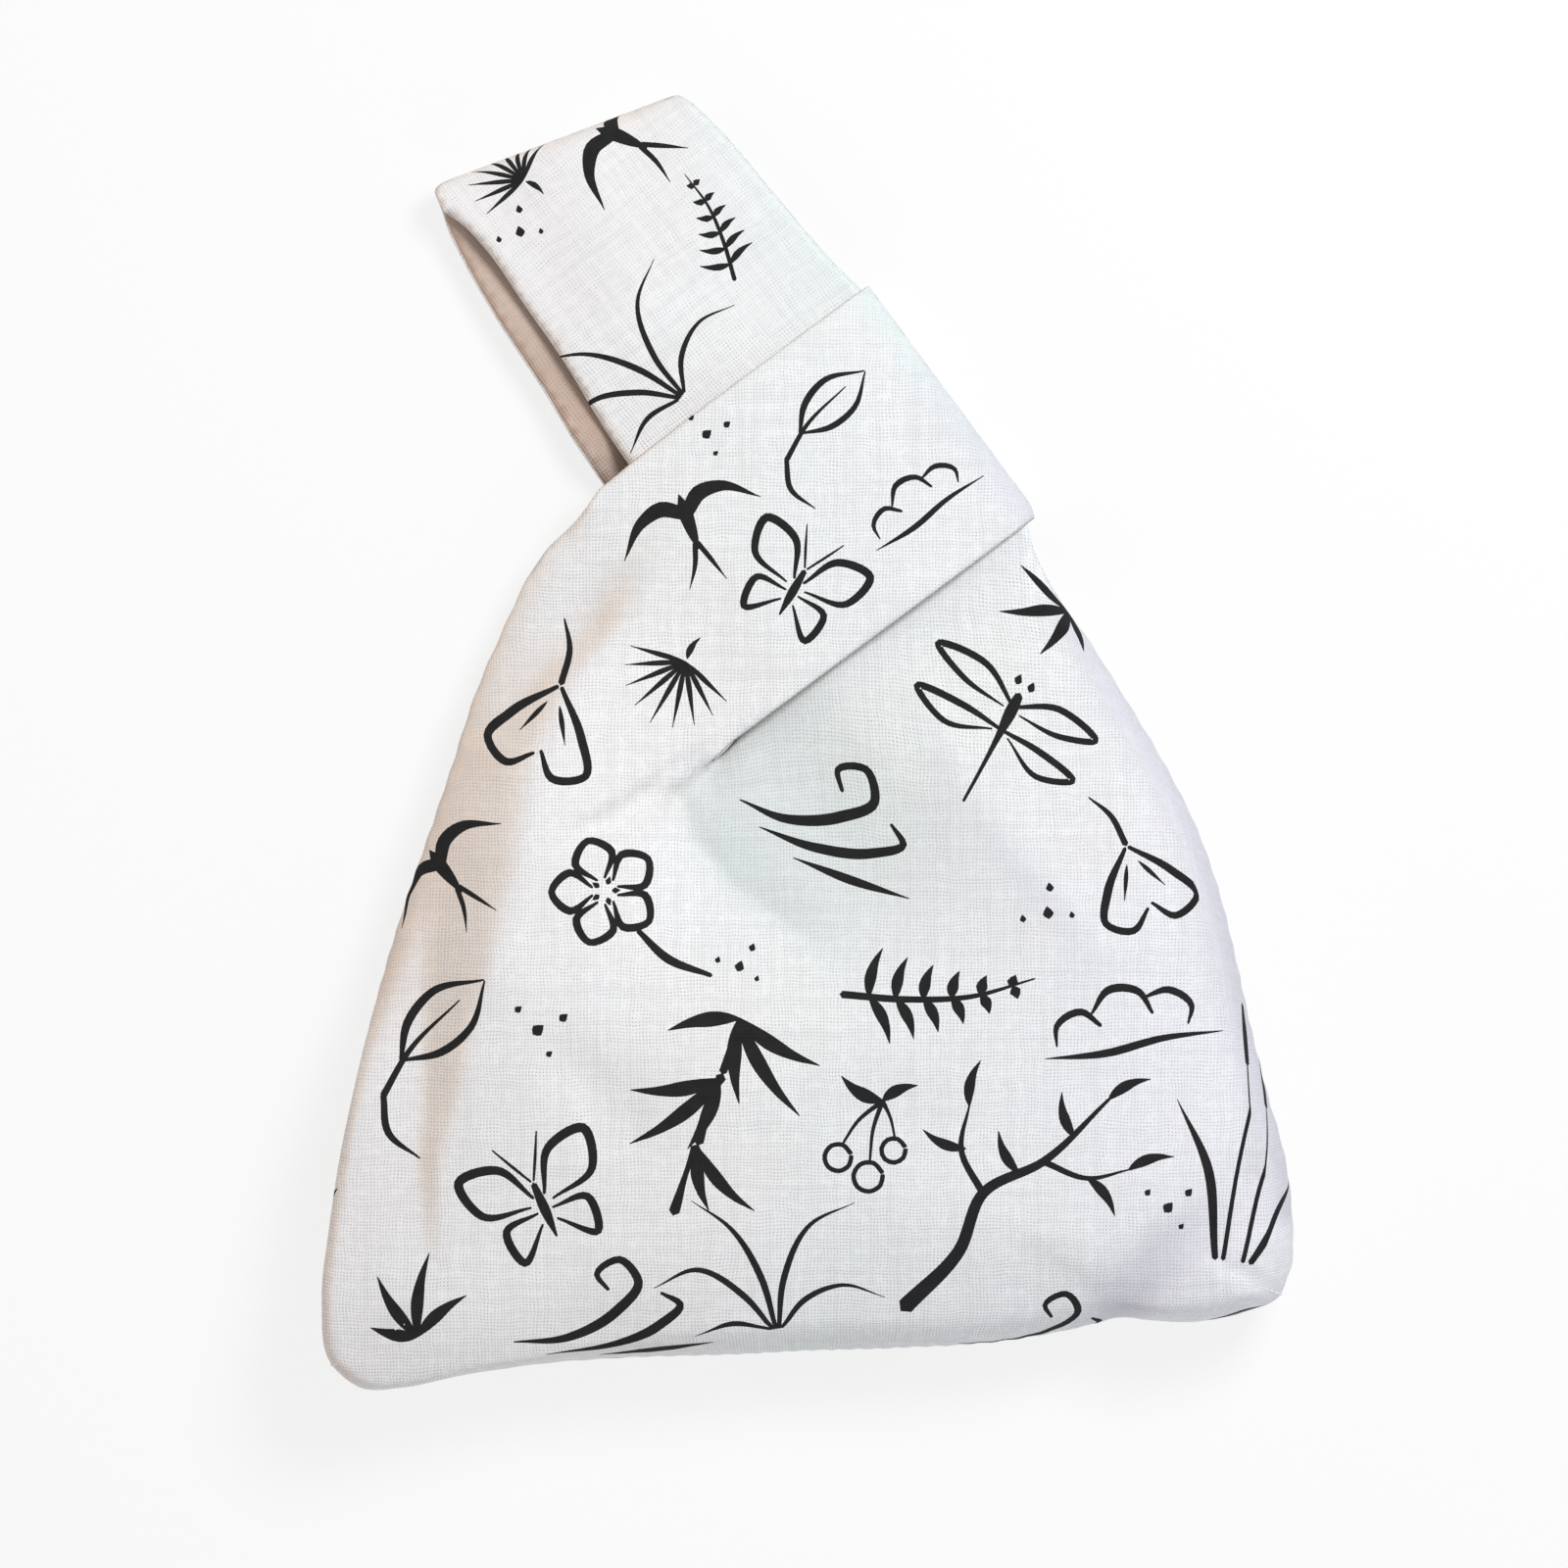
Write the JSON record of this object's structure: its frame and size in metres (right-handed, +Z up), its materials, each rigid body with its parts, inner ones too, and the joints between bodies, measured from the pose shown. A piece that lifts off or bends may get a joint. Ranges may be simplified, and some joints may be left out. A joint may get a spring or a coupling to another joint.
{
  "type": "japanese knot bag",
  "caption": "Soft lined wrist bag of white cotton-linen cloth with a boxed base, lying flat, its short side loop drawn round its long handle to close the mouth.",
  "frame": {"origin": "middle of the bag's footprint, on the surface it lies on", "axes": "+Z up out of the front panel, +Y from the base towards the handle, +X to the right as seen from the front"},
  "size_m": [0.22, 0.2938, 0.038],
  "materials": {
    "outer_cloth": "matt plain weave",
    "lining_cloth": "matt plain weave",
    "seam_thread": "matt thread"
  },
  "bodies": {
    "bag": {"outer_front_panel": "outer_cloth", "outer_back_panel": "outer_cloth", "lining_front_panel": "lining_cloth", "lining_back_panel": "lining_cloth", "left_side_seam": "seam_thread", "right_side_seam": "seam_thread", "base_seam": "seam_thread", "left_corner_seam": "seam_thread", "right_corner_seam": "seam_thread", "loop_outer_front": "outer_cloth", "loop_outer_back": "outer_cloth", "loop_lining_front": "lining_cloth", "loop_lining_back": "lining_cloth", "loop_end_seam": "seam_thread"},
    "strap": {"strap_outer_front": "outer_cloth", "strap_outer_back": "outer_cloth", "strap_lining_front": "lining_cloth", "strap_lining_back": "lining_cloth"},
    "handle": {"handle_outer_front": "outer_cloth", "handle_outer_back": "outer_cloth", "handle_lining_front": "lining_cloth", "handle_lining_back": "lining_cloth", "handle_end_seam": "seam_thread"}
  },
  "joints": [
    {"name": "handle_pull", "type": "slide", "parent": "bag", "child": "strap", "axis": [-0.5948, 0.8039, 0], "range_m": [0, 0.02]},
    {"name": "handle_fold", "type": "hinge", "parent": "strap", "child": "handle", "pos_m": [-0.0144, 0.08301, 0.0157], "axis": [0.8039, 0.5948, 0], "range_deg": [0, 150]}
  ]
}
